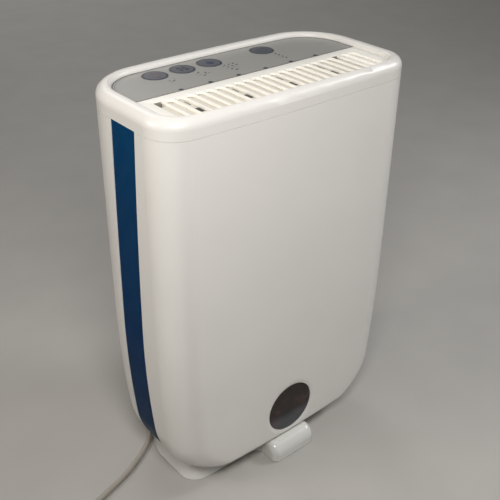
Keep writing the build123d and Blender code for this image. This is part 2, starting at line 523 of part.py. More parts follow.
heater_cover = along_y(pie(20, 110, -62, -2), HEATER_Y0, HEATER_Y1)
heater_cover -= along_y(pie(22, 108, -60.5, -3.5), HEATER_Y0 - 1, HEATER_Y1 - 2)
heater_cover += drum(0, ROTOR_Z, 22, HEATER_Y1 - 2, HEATER_Y1) - drum(0, ROTOR_Z, 5.0, 0, 60)
THROAT_Z = REGEN_Z + 16.0
throat_bore = box(60, REGEN_X, 17, 29.5, THROAT_Z - 8, THROAT_Z + 8)
heater_cover -= throat_bore - drum(0, ROTOR_Z, 100, 0, 60)
save("heater_cover", heater_cover)
element = along_y(pie(34, 98, -55, -9), 22, 23)
for radius in (40, 50, 60, 70, 80, 90):
    element += along_y(pie(radius, radius + 3, -52, -12), 16, 22)
for radius in (50, 82):
    stud = math.radians(-32)
    element += drum(radius * math.cos(stud), ROTOR_Z + radius * math.sin(stud), 2, 22, HEATER_Y1 - 2)
save("heater_element", element)

regen_housing = drum(REGEN_X, REGEN_Z, 31, 14, 36) - drum(REGEN_X, REGEN_Z, 29.5, 15.5, 34.5)
regen_housing -= drum(REGEN_X, REGEN_Z, 14, 30, 40)
regen_housing -= drum(REGEN_X, REGEN_Z, 8, 10, 20)
throat = box(62, REGEN_X, 15, 31.5, THROAT_Z - 10, THROAT_Z + 10)
throat -= drum(0, ROTOR_Z, 110, 0, 60) + drum(REGEN_X, REGEN_Z, 30, 0, 60)
regen_housing = regen_housing + throat - throat_bore
save("regen_housing", regen_housing)
regen_impeller = drum(REGEN_X, REGEN_Z, 25, 17, 18.4)
regen_impeller += drum(REGEN_X, REGEN_Z, 6, 17, 29)
for i in range(16):
    regen_impeller += Pos(REGEN_X, 0, REGEN_Z) * Rot(0, 22.5 * i, 0) * Pos(21.5, 24.5, 0) * Rot(0, 35, 0) \
        * Box(6.5, 13, 1)
regen_impeller -= drum(REGEN_X, REGEN_Z, 2.05, 0, 28)
save("regen_impeller", regen_impeller)
regen_motor = drum(REGEN_X, REGEN_Z, 17, CHASSIS_Y1, 14) + drum(REGEN_X, REGEN_Z, 2.0, 12, 27)
regen_motor += box(REGEN_X - 24, REGEN_X + 24, 12.5, 14, REGEN_Z - 5, REGEN_Z + 5)
save("regen_motor", regen_motor)

# Condenser: upright tubes between two headers, over a drip tray with a spout
condenser = box(-112, 112, 44, 70, 180, 192) + box(-112, 112, 44, 70, 404, 416)
TUBES = 12
for i in range(TUBES):
    condenser += post((i - (TUBES - 1) / 2) * 18.5, 57, 7.4, 190, 406)
for x0, x1 in ((-SCREW_X - 3, -110), (110, SCREW_X + 3)):
    condenser += box(x0, x1, EAR_Y0, EAR_Y1, 180, 186) + box(x0, x1, EAR_Y0, EAR_Y1, 408, 414)
save("condenser", condenser)
tray = box(-116, 116, CHASSIS_Y1, 76, 150, 168) - box(-114, 114, CHASSIS_Y1 + 2, 74, 152, 170)
SPOUT_X, SPOUT_Y = -62.0, 40.0
tray += post(SPOUT_X, SPOUT_Y, 8, 131, 152)
tray -= post(SPOUT_X, SPOUT_Y, 6, 120, 160)
save("drip_tray", tray)

BOARD_X, BOARD_Z0 = -152.0, 176.0
BOARD_PARTS = [(-8, 14, 64, 94, 20), (20, 40, 74, 94, 14), (-6, 20, 14, 44, 18), (28, 46, 12, 54, 12)]
power_board = box(BOARD_X, BOARD_X + 1.6, CHASSIS_Y1, 50, BOARD_Z0, BOARD_Z0 + 110)
for y0, y1, z0, z1, depth in BOARD_PARTS:
    power_board += box(BOARD_X + 1.6, BOARD_X + 1.6 + depth, y0, y1, BOARD_Z0 + z0, BOARD_Z0 + z1)
save("power_board", power_board)
sensor = box(136, 152, CHASSIS_Y1, CHASSIS_Y1 + 3, 392, 408)
sensor += box(140, 148, CHASSIS_Y1 + 3, CHASSIS_Y1 + 7, 396, 404)
save("humidity_sensor", sensor)
tilt_box = box(136, 156, CHASSIS_Y1, CHASSIS_Y1 + 16, 300, 320)
save("tilt_switch", tilt_box + drum(146, 310, 5, CHASSIS_Y1 + 16, 0))

# ---------------------------------------------------------------- water tank
tank = box(-TANK_W, TANK_W, TANK_Y0, TANK_Y1, TANK_Z0, TANK_Z1)
tank = fillet(tank.edges().filter_by(Axis.Z), 12)
tank = fillet(tank.faces().sort_by(Axis.Z)[0].edges(), 6)
void = box(-TANK_W + 2, TANK_W - 2, TANK_Y0 + 2, TANK_Y1 - 2, TANK_Z0 + 2, TANK_Z1 + 10)
void = fillet(void.edges().filter_by(Axis.Z), 10)
void = fillet(void.faces().sort_by(Axis.Z)[0].edges(), 4)
save("water_tank", tank - void)

LID_Z = TANK_Z1 + 0.1
HANDLE_Z = LID_Z + HANDLE_RISE
lid = fillet(box(-TANK_W, TANK_W, TANK_Y0, TANK_Y1, LID_Z, LID_Z + 2).edges().filter_by(Axis.Z), 12)
lid_skirt = fillet(box(-TANK_W + 2.3, TANK_W - 2.3, TANK_Y0 + 2.3, TANK_Y1 - 2.3, LID_Z - 5, LID_Z)
                   .edges().filter_by(Axis.Z), 9.7)
lid_skirt -= fillet(box(-TANK_W + 4.3, TANK_W - 4.3, TANK_Y0 + 4.3, TANK_Y1 - 4.3, LID_Z - 6, LID_Z + 1)
                    .edges().filter_by(Axis.Z), 8)
lid += lid_skirt
lid -= post(SPOUT_X, SPOUT_Y, 13, LID_Z - 2, LID_Z + 5)
for x in (-HANDLE_X - 4, HANDLE_X + 1):
    lid += box(x, x + 3, HANDLE_Y - 5, HANDLE_Y + 5, LID_Z + 1, HANDLE_Z + 3.2)
lid -= rod(HANDLE_Y, HANDLE_Z, 1.56, -80, 80)
for x in (FLOAT_X - 8, FLOAT_X + 5):
    lid += box(x, x + 3, FLOAT_Y - 4, FLOAT_Y + 4, FLOAT_Z - 4, LID_Z + 1)
lid -= rod(FLOAT_Y, FLOAT_Z, 1.56, FLOAT_X - 12, FLOAT_X + 12)
save("tank_lid", lid)

handle = rod(HANDLE_Y - HANDLE_REACH, HANDLE_Z, 2, -HANDLE_X + 4, HANDLE_X - 4)
for side in (-1, 1):
    x0, x1 = sorted((side * (HANDLE_X - 6), side * (HANDLE_X + 0.6)))
    handle += box(x0, x1, HANDLE_Y - HANDLE_REACH - 2, HANDLE_Y, HANDLE_Z - 2, HANDLE_Z + 2)
    handle += rod(HANDLE_Y, HANDLE_Z, 2, x0, x1)
    pin_x0, pin_x1 = sorted((side * HANDLE_X, side * (HANDLE_X + 3.8)))
    handle += rod(HANDLE_Y, HANDLE_Z, 1.5, pin_x0, pin_x1)
save("tank_handle", handle)

# Float: an arm on a cross pin under the lid, a foam block, and the magnet that works the switch
ARM_Z0, ARM_Z1 = BLOCK_Z0 + 6, BLOCK_Z0 + 12
float_arm = box(FLOAT_X - 3, FLOAT_X + 3, FLOAT_Y - 3, FLOAT_Y + 3, FLOAT_Z - 3, FLOAT_Z + 3)
arm_side = polygon([(FLOAT_Y - 3, FLOAT_Z + 3), (FLOAT_Y + 2, FLOAT_Z - 3),
                    (BLOCK_Y, ARM_Z0), (BLOCK_Y, ARM_Z1)])
float_arm += along_x(arm_side, FLOAT_X - 2, FLOAT_X + 2)
float_arm += box(FLOAT_X - 2, FLOAT_X + 2, BLOCK_Y - 4, BLOCK_Y, ARM_Z0, ARM_Z0 + 4)
float_arm += rod(FLOAT_Y, FLOAT_Z, 1.5, FLOAT_X - 8, FLOAT_X + 8)
save("float_arm", float_arm)
block = fillet(box(FLOAT_X - 18, FLOAT_X + 18, BLOCK_Y - 22, BLOCK_Y, BLOCK_Z0, BLOCK_Z1).edges(), 3)
block -= box(FLOAT_X - 2.05, FLOAT_X + 2.05, BLOCK_Y - 4.05, BLOCK_Y + 1, ARM_Z0 - 0.05, ARM_Z0 + 4.05)
block -= box(FLOAT_X - 6, FLOAT_X + 6, BLOCK_Y - 18, BLOCK_Y - 10, BLOCK_Z1 - 5, BLOCK_Z1 + 5)
save("float_block", block)
magnet = box(FLOAT_X - 5.9, FLOAT_X + 5.9, BLOCK_Y - 17.9, BLOCK_Y - 10.1, BLOCK_Z1 - 4.9, BLOCK_Z1 - 0.5)
save("float_magnet", magnet)

door_outline = rounded(-TANK_DOOR_W + GAP, TANK_DOOR_W - GAP, TANK_DOOR_Z0 + GAP, TANK_DOOR_Z1 - GAP, 9.6)
door_shape = along_y(door_outline, 20, HALF_D + 5)
door = (outer - inner) & door_shape
PULL = (-36, 36, 82, 106)
door -= along_y(rounded(*PULL, 8), 20, HALF_D + 5)
cup = along_y(rounded(PULL[0] - 2, PULL[1] + 2, PULL[2] - 2, PULL[3] + 2, 10), TANK_Y1 + 0.1, HALF_D + 5)
cup -= along_y(rounded(*PULL, 8), TANK_Y1 + 2, HALF_D + 6)
door += cup & outer
save("tank_door", door)
RUNNER_TOP = TANK_Z0 - 0.3
save("tank_runners", *[box(x, x + 10, -70, 74, UNDER_Z + WALL + 0.05, RUNNER_TOP) for x in (-80, 70)])
save("tank_switch", box(FLOAT_X - 8, FLOAT_X + 8, -66, -50, 126, 132))

# ---------------------------------------------------------------- base


def base_plan(step, z):
    """Base outline with a short neck, rounded into the body, where each tongue joins."""
    whole = plan(BASE_W - step, BASE_D - step, 24 - step / 2, 60 - step, z, BASE_BOW)
    necks = ((TONGUE_W - 0.5, -1), (REAR_TONGUE_W - 0.5, 1))
    for half_w, side in necks:
        whole += Pos(0, side * (BASE_D + NECK) / 2, z) * Rectangle(2 * half_w, BASE_D + NECK)
    corners = [v for v in whole.vertices()
               if min(abs(abs(v.X) - half_w) for half_w, _ in necks) < 0.1
               and 30 < abs(v.Y) < BASE_D + NECK - 1]
    return fillet(corners, NECK - 1)


def tongue(half_w, reach):
    """Foot with a round nose and softer ends, sticking out to the front."""
    bar = box(-half_w, half_w, -reach, -30, FOOT_H, TONGUE_TOP)
    bar = fillet(bar.edges().filter_by(Axis.X).group_by(Axis.Z)[-1].sort_by(Axis.Y)[0], TONGUE_R)
    ends = bar.faces().filter_by(Axis.X)
    rims = [e for end in ends for e in end.edges() if e.center().Z > FOOT_H + 0.1 and e.center().Y < -31]
    return fillet(rims, TONGUE_END_R)


stand = loft([base_plan(0, FOOT_H), base_plan(SLOPE, UNDER_Z)])
stand = stand + tongue(TONGUE_W, TONGUE_Y) + mirror(tongue(REAR_TONGUE_W, TONGUE_Y), Plane.XZ)
stand -= box(-HOLLOW_W, HOLLOW_W, -HOLLOW_D, HOLLOW_D, -5, UNDER_Z - 3)
stand -= drum(CORD_EXIT[0], CORD_EXIT[2], 5.45, 40, 75)
pads = []
for x, y in ((-110, -34), (110, -34), (-110, 30), (110, 30)):
    stand += post(x, y, 9, 6, UNDER_Z - 2)
    pads.append(post(x, y, 7, 0, 6))
for y in (-TONGUE_Y + 9, TONGUE_Y - 9):
    stand -= post(0, y, 5.1, -5, 2.5)
    pads.append(post(0, y, 5, 0, 2.5))
save("base", stand)
save("rubber_feet", *pads)

# ---------------------------------------------------------------- cord
# It leaves the rear of the base, turns round the rear left corner and runs out to the front left.
CORD_ROUTE = [
    CORD_EXIT, (-43.5, 85.0, 13.5), (-42.0, 108.5, 7.0), (-52.4, 126.6, CORD_R),
    (-70.5, 137.0, CORD_R), (-91.5, 137.0, CORD_R), (-109.6, 126.6, CORD_R), (-120.0, 108.5, CORD_R),
    (-123.5, 86.0, CORD_R), (-127.5, 63.0, CORD_R), (-137.5, 40.5, CORD_R), (-159.5, 22.5, CORD_R),
    (-177.5, 11.5, CORD_R), (-199.5, 1.0, CORD_R), (-223.0, -6.0, CORD_R), (-247.0, -11.8, CORD_R),
    (-269.0, -19.0, CORD_R), (-288.0, -25.6, CORD_R), (-302.2, -30.0, CORD_R)]
TAIL_ROUTE = [(-302.2, -120.8, 10.5), (-283.5, -125.8, 11.0), (-265.5, -135.0, 11.0), (-246.0, -140.0, 11.0)]


def tube(route, radius):
    """Straight runs joined by arcs as large as the runs allow."""
    points = [Vector(*p) for p in route]
    radii = []
    for before, here, after in zip(points, points[1:], points[2:]):
        turn = math.radians((here - before).get_angle(after - here))
        shorter = min((here - before).length, (after - here).length)
        radii.append(0.45 * shorter / math.tan(turn / 2))
    print("cord radii", [round(r) for r in radii])
    path = FilletPolyline(*points, radius=radii)
    section = Plane(origin=path @ 0, z_dir=path % 0) * Circle(radius)
    solid = sweep(section, path=path)
    print("cord length", round(path.length))
    return solid


save("power_cord", tube(CORD_ROUTE, CORD_R), tube(TAIL_ROUTE, CORD_R))
COIL_HALF = COIL_ROWS * CORD_R
coil = post(COIL_X, COIL_Y, COIL_R + COIL_HALF, 0, 2 * COIL_LAYERS * CORD_R)
coil -= post(COIL_X, COIL_Y, COIL_R - COIL_HALF, -1, 50)
save("cord_coil", coil)
tie_outer = box(COIL_X + COIL_R - COIL_HALF - 1.2, COIL_X + COIL_R + COIL_HALF + 1.2,
                COIL_Y - 4, COIL_Y + 4, 0, 2 * COIL_LAYERS * CORD_R + 1.2)
save("coil_tie", tie_outer - coil)
EXIT_X, EXIT_Z = CORD_EXIT[0], CORD_EXIT[2]
BOOT_Y0, BOOT_Y1 = 61.0, 83.0
boot = Pos(EXIT_X, BOOT_Y0, EXIT_Z) * Rot(-90, 0, 0) * Cone(6.8, 4.6, BOOT_Y1 - BOOT_Y0,
                                                            align=(Align.CENTER, Align.CENTER, Align.MIN))
boot += drum(EXIT_X, EXIT_Z, 5.4, HOLLOW_D - 2, BOOT_Y0 + 1)
boot += drum(EXIT_X, EXIT_Z, 8, HOLLOW_D - 3, HOLLOW_D - 0.05)
save("strain_relief", boot - drum(EXIT_X, EXIT_Z, CORD_R - 0.1, 30, 90))

# Plug with three flat pins, lying on its back beside the coil
PLUG_X0, PLUG_X1 = TAIL_ROUTE[-1][0], TAIL_ROUTE[-1][0] + 48
PLUG_Y, PLUG_Z1 = TAIL_ROUTE[-1][1], 21.0
plug = box(PLUG_X0 + 6, PLUG_X1, PLUG_Y - 24, PLUG_Y + 24, 0, PLUG_Z1)
plug = fillet(plug.edges().filter_by(Axis.Z), 9)
plug = fillet(plug.faces().sort_by(Axis.Z)[-1].edges(), 2.5)
plug += box(PLUG_X0, PLUG_X0 + 8, PLUG_Y - 8, PLUG_Y + 8, 3, PLUG_Z1 - 2)
for pin_y in (-11.1, 11.1):
    plug += box(PLUG_X0 + 18, PLUG_X0 + 22, PLUG_Y + pin_y - 3.2, PLUG_Y + pin_y + 3.2,
                PLUG_Z1 - 1, PLUG_Z1 + 17.7)
plug += box(PLUG_X0 + 37, PLUG_X0 + 45, PLUG_Y - 2, PLUG_Y + 2, PLUG_Z1 - 1, PLUG_Z1 + 22.7)
save("plug", plug)
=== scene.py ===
"""Looks of the upright dehumidifier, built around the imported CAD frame.

Plain numbers are millimetres and are multiplied by MM where they meet Blender, which works in metres.
Sizes in materials, lights and the camera are in metres.
"""
import json
import math

import bmesh
import bpy
from mathutils import Matrix, Vector


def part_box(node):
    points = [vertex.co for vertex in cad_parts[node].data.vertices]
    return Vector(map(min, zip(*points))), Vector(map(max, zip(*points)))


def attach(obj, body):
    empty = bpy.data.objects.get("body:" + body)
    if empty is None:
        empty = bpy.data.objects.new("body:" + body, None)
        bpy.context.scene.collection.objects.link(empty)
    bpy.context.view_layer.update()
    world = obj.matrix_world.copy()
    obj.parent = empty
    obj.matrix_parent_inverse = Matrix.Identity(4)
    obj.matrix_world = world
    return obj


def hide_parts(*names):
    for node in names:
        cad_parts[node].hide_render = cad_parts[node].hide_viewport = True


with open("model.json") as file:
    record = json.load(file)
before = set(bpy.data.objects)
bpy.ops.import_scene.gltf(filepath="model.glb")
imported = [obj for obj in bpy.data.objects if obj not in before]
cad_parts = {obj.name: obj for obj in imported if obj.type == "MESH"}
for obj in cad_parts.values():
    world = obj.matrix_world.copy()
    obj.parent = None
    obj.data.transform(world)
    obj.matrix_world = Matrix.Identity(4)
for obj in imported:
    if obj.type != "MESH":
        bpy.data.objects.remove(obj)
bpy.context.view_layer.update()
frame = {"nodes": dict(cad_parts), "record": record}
nodes = frame["nodes"]
MM = 0.001

# ---------------------------------------------------------------- sizes shared with the CAD, in mm
HALF_W = 175.5
STRAIGHT_Z, HAUNCH_Z = 240.0, 85.0      # straight sides above the first, a tighter curve below the second
SIDE_R, HAUNCH_R = 1500.0, 110.0
DECK_Z = 503.7                          # top of the control panel and of the grille
DECK_W, DECK_D, DECK_Y, DECK_BOW = 157.0, 76.75, -3.75, 1.955
DECK_FRONT_R, DECK_REAR_R = 28.0, 50.0
PANEL_Y = -6.0                          # front edge of the control panel
SLOTS, SLOT_PITCH, SLOT_W = 23, 12.4, 9.8
SLOT_Y0, SLOT_Y1, RIB_Z = -74.0, -20.0, 500.8
NOTCH_SLOTS = (0, 20)                   # slots that end at a stop
CUP_SLOTS = (2, 7, 12, 17)              # slots over the louvre's openings
CUP_Y0, CUP_Y1 = -60.0, -48.0           # front and rear of those openings
SLIT_X0, SLIT_X1 = 2.0, 3.6             # the louvre's slits, from the middle of their slot
SLIT_Y0, SLIT_Y1 = -38.0, -26.0
KEY_R, KEY_Y, KEY_TOP = 14.3, 50.2, 504.3
KEY_X = {"power": -93.3, "fan": -56.9, "humidity": -19.7, "timer": 58.4}
CORD_D = 7.0
CORD_EXIT = (-44.5, 62.5, 14.0)

# Control points of the cord, from its exit to the coil and from the coil to the plug
CORD_ROUTE = [
    CORD_EXIT, (-43.5, 85.0, 13.5), (-42.0, 108.5, 7.0), (-52.4, 126.6, 3.5),
    (-70.5, 137.0, 3.5), (-91.5, 137.0, 3.5), (-109.6, 126.6, 3.5), (-120.0, 108.5, 3.5),
    (-123.5, 86.0, 3.5), (-127.5, 63.0, 3.5), (-138.0, 41.5, 3.5), (-158.0, 25.4, 3.5),
    (-176.0, 15.2, 3.5), (-198.5, 3.8, 3.5), (-222.5, -3.6, 3.5), (-246.5, -10.9, 3.5),
    (-269.0, -18.6, 3.5), (-288.0, -25.6, 3.5), (-302.2, -30.0, 3.5)]
TAIL_ROUTE = [
    (-302.2, -120.8, 10.5), (-283.5, -125.8, 11.0), (-265.5, -135.0, 11.0), (-246.0, -140.0, 11.0)]
COIL_X, COIL_Y = -290.0, -75.4
COIL_ROWS, COIL_LAYERS = (47.0, 40.0, 33.0), (3.5, 10.5)    # radii of the turns, heights of the layers
COIL_START, COIL_TURNS = 105.0, 5.0 + 150.0 / 360.0         # degrees from +X, turns


# ---------------------------------------------------------------- materials
def lin(hex_color):
    """sRGB hex to linear RGBA."""
    channels = [int(hex_color[i:i + 2], 16) / 255 for i in (0, 2, 4)]
    return tuple(c / 12.92 if c <= 0.04045 else ((c + 0.055) / 1.055) ** 2.4 for c in channels) + (1.0,)


class Graph:
    """A material's node tree with short calls for the nodes that this scene uses."""

    def __init__(self, name):
        self.mat = bpy.data.materials.new(name)
        self.mat.use_nodes = True
        self.tree = self.mat.node_tree
        self.shader = self.tree.nodes["Principled BSDF"]
        self.where = self.add("ShaderNodeTexCoord").outputs["Object"]

    def add(self, kind, **settings):
        node = self.tree.nodes.new(kind)
        for key, value in settings.items():
            if key in node.inputs:
                node.inputs[key].default_value = value
            else:
                setattr(node, key, value)
        return node

    def link(self, a, b):
        self.tree.links.new(a, b)

    def noise(self, scale, detail=3.0, rough=0.5):
        node = self.add("ShaderNodeTexNoise")
        node.inputs["Scale"].default_value = scale
        node.inputs["Detail"].default_value = detail
        node.inputs["Roughness"].default_value = rough
        self.link(self.where, node.inputs["Vector"])
        return node.outputs["Fac"]

    def ramp(self, source, stops):
        node = self.add("ShaderNodeValToRGB")
        while len(node.color_ramp.elements) < len(stops):
            node.color_ramp.elements.new(0.5)
        for element, (at, color) in zip(node.color_ramp.elements, stops):
            element.position = at
            element.color = color
        self.link(source, node.inputs["Fac"])
        return node.outputs["Color"]

    def spread(self, source, low, high):
        node = self.add("ShaderNodeMapRange")
        node.inputs["To Min"].default_value = low
        node.inputs["To Max"].default_value = high
        self.link(source, node.inputs["Value"])
        return node.outputs["Result"]

    def height(self, low, high):
        """0 at the height low and 1 at the height high."""
        split = self.add("ShaderNodeSeparateXYZ")
        self.link(self.where, split.inputs["Vector"])
        node = self.add("ShaderNodeMapRange")
        node.inputs["From Min"].default_value = low
        node.inputs["From Max"].default_value = high
        self.link(split.outputs["Z"], node.inputs["Value"])
        return node.outputs["Result"]

    def mix(self, kind, a, b):
        node = self.add("ShaderNodeMix", data_type="RGBA", blend_type=kind)
        node.inputs["Factor"].default_value = 1.0
        self.link(a, node.inputs["A"])
        self.link(b, node.inputs["B"])
        return node.outputs["Result"]

    def bump(self, height, strength, distance):
        node = self.add("ShaderNodeBump")
        node.inputs["Strength"].default_value = strength
        node.inputs["Distance"].default_value = distance
        self.link(height, node.inputs["Height"])
        old = self.shader.inputs["Normal"].links
        if old:
            self.link(old[0].from_socket, node.inputs["Normal"])
        self.link(node.outputs["Normal"], self.shader.inputs["Normal"])

    def set(self, **values):
        for key, value in values.items():
            self.shader.inputs[key.replace("_", " ")].default_value = value


def scaled(color, k):
    return tuple(min(1.0, c * k) for c in color[:3]) + (1.0,)


def plastic(name, color, rough=0.38, vary=0.05, grain=0.15, grain_scale=2200.0, **more):
    """Moulded plastic: slow colour drift, fine grain in the gloss and in the surface."""
    g = Graph(name)
    base = lin(color)
    g.link(g.ramp(g.noise(9.0, 4.0), [(0.3, scaled(base, 1 - vary)), (0.7, scaled(base, 1 + vary * 0.4))]),
           g.shader.inputs["Base Color"])
    g.link(g.spread(g.noise(60.0, 5.0), rough - 0.06, rough + 0.08), g.shader.inputs["Roughness"])
    g.bump(g.noise(grain_scale, 2.0), grain, 0.00006)
    g.set(**more)
    return g.mat


def metal(name, color, rough=0.3, brushed=False):
    g = Graph(name)
    base = lin(color)
    g.set(Metallic=1.0)
    source = g.noise(120.0, 6.0)
    if brushed:
        stretch = g.add("ShaderNodeMapping")
        stretch.inputs["Scale"].default_value = (30.0, 900.0, 900.0)
        g.link(g.where, stretch.inputs["Vector"])
        fine = g.add("ShaderNodeTexNoise", Scale=1.0, Detail=4.0)
        g.link(stretch.outputs["Vector"], fine.inputs["Vector"])
        source = fine.outputs["Fac"]
    g.link(g.ramp(source, [(0.3, scaled(base, 0.8)), (0.7, base)]), g.shader.inputs["Base Color"])
    g.link(g.spread(source, rough - 0.1, rough + 0.15), g.shader.inputs["Roughness"])
    g.bump(source, 0.12, 0.00005)
    return g.mat


def strip_material():
    """Deep blue film, darker towards its foot as painted shade, with faint patches of painted sheen in its
    colour.
    """
    g = Graph("strip_film")
    # Painted shade: the blue darkens towards the foot, where less light falls on the side
    blue = g.ramp(g.height(30 * MM, 480 * MM),
                  [(0.0, lin("032a4d")), (0.45, lin("033058")), (1.0, lin("063c62"))])
    # Painted sheen: slow patches that dim the blue in places
    drift = g.ramp(g.noise(35.0, 4.0), [(0.3, (0.82, 0.84, 0.88, 1)), (0.7, (1, 1, 1, 1))])
    g.link(g.mix("MULTIPLY", blue, drift), g.shader.inputs["Base Color"])
    g.link(g.spread(g.noise(240.0), 0.30, 0.42), g.shader.inputs["Roughness"])
    g.set(Specular_IOR_Level=0.03)
    g.bump(g.noise(1600.0, 2.0), 0.1, 0.00005)
    return g.mat


def lens_material():
    """Smoked lens: near black with dull red blots above, bluish where the tank's foot shows through."""
    g = Graph("smoked_lens")
    wave = g.add("ShaderNodeMath", operation="MULTIPLY_ADD")
    wave.inputs[1].default_value = 0.10
    g.link(g.noise(38.0, 2.0), wave.inputs[0])
    g.link(g.height(36 * MM, 110 * MM), wave.inputs[2])
    shade = g.ramp(wave.outputs["Value"],
                   [(0.0, lin("4c4e53")), (0.30, lin("46484d")), (0.38, lin("37373b")),
                    (0.46, lin("1c1716")), (0.62, lin("271d1b")), (1.0, lin("181211"))])
    blots = g.ramp(g.noise(52.0, 3.0), [(0.50, (0.0, 0.0, 0.0, 1)), (0.64, (0.026, 0.010, 0.009, 1))])
    g.link(g.mix("ADD", shade, blots), g.shader.inputs["Base Color"])
    g.link(g.spread(g.noise(20.0), 0.05, 0.12), g.shader.inputs["Roughness"])
    g.set(Coat_Weight=0.08, Coat_Roughness=0.05, IOR=1.35)
    return g.mat


def board_material():
    """Solder mask with fine tracks."""
    g = Graph("circuit_board")
    brick = g.add("ShaderNodeTexBrick")
    brick.inputs["Scale"].default_value = 160.0
    brick.inputs["Mortar Size"].default_value = 0.03
    for socket, color in (("Color1", "0d4a22"), ("Color2", "0a3d1c"), ("Mortar", "2f7a3d")):
        brick.inputs[socket].default_value = lin(color)
    g.link(g.where, brick.inputs["Vector"])
    g.link(brick.outputs["Color"], g.shader.inputs["Base Color"])
    g.link(g.spread(g.noise(80.0), 0.25, 0.4), g.shader.inputs["Roughness"])
    g.bump(brick.outputs["Fac"], 0.2, 0.0001)
    return g.mat


def cell_material(name, dark, light, scale, rough=0.8):
    """Packed small cells, as on a honeycomb core or a fine foam."""
    g = Graph(name)
    cell = g.add("ShaderNodeTexVoronoi", feature="DISTANCE_TO_EDGE")
    cell.inputs["Scale"].default_value = scale
    g.link(g.where, cell.inputs["Vector"])
    edge = g.ramp(cell.outputs["Distance"], [(0.0, lin(light)), (0.12, lin(dark))])
    g.link(edge, g.shader.inputs["Base Color"])
    g.link(g.spread(g.noise(90.0), rough - 0.1, rough), g.shader.inputs["Roughness"])
    g.bump(cell.outputs["Distance"], 0.6, 0.0006)
    return g.mat


def clear_material(name, color, rough, transmission):
    g = Graph(name)
    base = lin(color)
    g.link(g.ramp(g.noise(14.0), [(0.3, scaled(base, 0.92)), (0.7, base)]), g.shader.inputs["Base Color"])
    g.link(g.spread(g.noise(70.0), rough, rough + 0.1), g.shader.inputs["Roughness"])
    g.set(Transmission_Weight=transmission, IOR=1.46)
    return g.mat


MATERIALS = {
    "shell": plastic("shell_abs", "e2dfda", rough=0.36, vary=0.03, grain=0.10, Coat_Weight=0.08,
                     Coat_Roughness=0.25),
    "grille": plastic("grille_abs", "f3f0e8", rough=0.34, vary=0.03, grain=0.08),
    # louvre: darker than the grille as painted shade of the recessed slot floors
    "louvre": plastic("louvre_abs_painted_shade", "dcd6cb", rough=0.4, vary=0.03, grain=0.08),
    # stop: a grey that paints the shade in the notches at two slots' rear ends
    "stop": plastic("stop_painted_shade", "8a8279", rough=0.45, vary=0.05, grain=0.1),
    "base_shell": plastic("base_gloss_abs", "dad9d4", rough=0.22, vary=0.03, grain=0.05, Coat_Weight=0.35,
                          Coat_Roughness=0.12),
    "strip": strip_material(),
    "film": plastic("panel_film", "979590", rough=0.34, vary=0.03, grain=0.35, grain_scale=5200.0),
    "key": plastic("key_film", "4d5159", rough=0.36, vary=0.06, grain=0.25, grain_scale=5200.0,
                   Coat_Weight=0.05, Coat_Roughness=0.2),
    "indicator": plastic("light_pipe", "565a60", rough=0.22, vary=0.05, grain=0.05),
    "dark_trim": plastic("dark_trim", "33363b", rough=0.4, vary=0.10, grain=0.2),
    "lens": lens_material(),
    "seal": plastic("rubber_black", "17171a", rough=0.62, vary=0.15, grain=0.4, grain_scale=1800.0),
    "inner_plastic": plastic("inner_polypropylene", "d2d1cb", rough=0.46, vary=0.05, grain=0.2),
    "black_plastic": plastic("black_polymer", "1d1e21", rough=0.44, vary=0.12, grain=0.3),
    "acetal": plastic("acetal", "dcd9d0", rough=0.34, vary=0.05, grain=0.1),
    "motor": metal("zinc_can", "9a9da2", rough=0.38),
    "heating_wire": metal("resistance_ribbon", "8a6f58", rough=0.45, brushed=True),
    "desiccant": cell_material("zeolite_core", "5d5850", "cfc9bc", 420.0),
    "board": board_material(),
    "sensor": plastic("sensor_case", "26282c", rough=0.4, vary=0.1, grain=0.2),
    "steel": metal("screw_steel", "b4b6ba", rough=0.28, brushed=True),
    "mesh": plastic("filter_yarn", "26272b", rough=0.6, vary=0.2, grain=0.6, grain_scale=3000.0),
    "tank": clear_material("tank_smoke", "b9c3cc", 0.10, 0.75),
    "lid": plastic("lid_grey", "b9bdc1", rough=0.42, vary=0.04, grain=0.2),
    "float": cell_material("float_foam", "dedad0", "f1eee6", 900.0, 0.7),
    "magnet": metal("ferrite", "4a4a4d", rough=0.5),
    "cord": plastic("cord_pvc", "a39c93", rough=0.44, vary=0.05, grain=0.25, grain_scale=1500.0),
}
INK = {ink: plastic("ink_" + ink, color, rough=rough, vary=0.1, grain=0.1) for ink, color, rough in (
    ("dark", "1d2029", 0.4), ("edge", "3f4042", 0.45), ("ring", "1d2638", 0.35),
    ("red", "5c3f3f", 0.4), ("blue", "1c2c48", 0.4), ("soft", "616265", 0.45))}

# The louvre shares the grille's slot, but is a darker beige: painted shade of the recessed slot floors
for row in frame["record"]["subparts"]:
    cad = nodes[row["node"]]
    cad.data.materials.clear()
    cad.data.materials.append(MATERIALS["louvre" if row["node"] == "louvre_flap" else row["material_slot"]])


# ---------------------------------------------------------------- mesh helpers
def piece(name, mesh, material, body, smooth=35.0):
    """A finished object: named, painted, smooth-shaded up to an angle, and riding on its body."""
    if isinstance(mesh, bmesh.types.BMesh):
        data = bpy.data.meshes.new(name)
        mesh.to_mesh(data)
        mesh.free()
    else:
        data = mesh
    data.name = name
    obj = bpy.data.objects.new(name, data)
    bpy.context.scene.collection.objects.link(obj)
    data.materials.clear()
    data.materials.append(material)
    data.shade_smooth()
    if smooth:
        data.set_sharp_from_angle(angle=math.radians(smooth))
    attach(obj, body)
    return obj


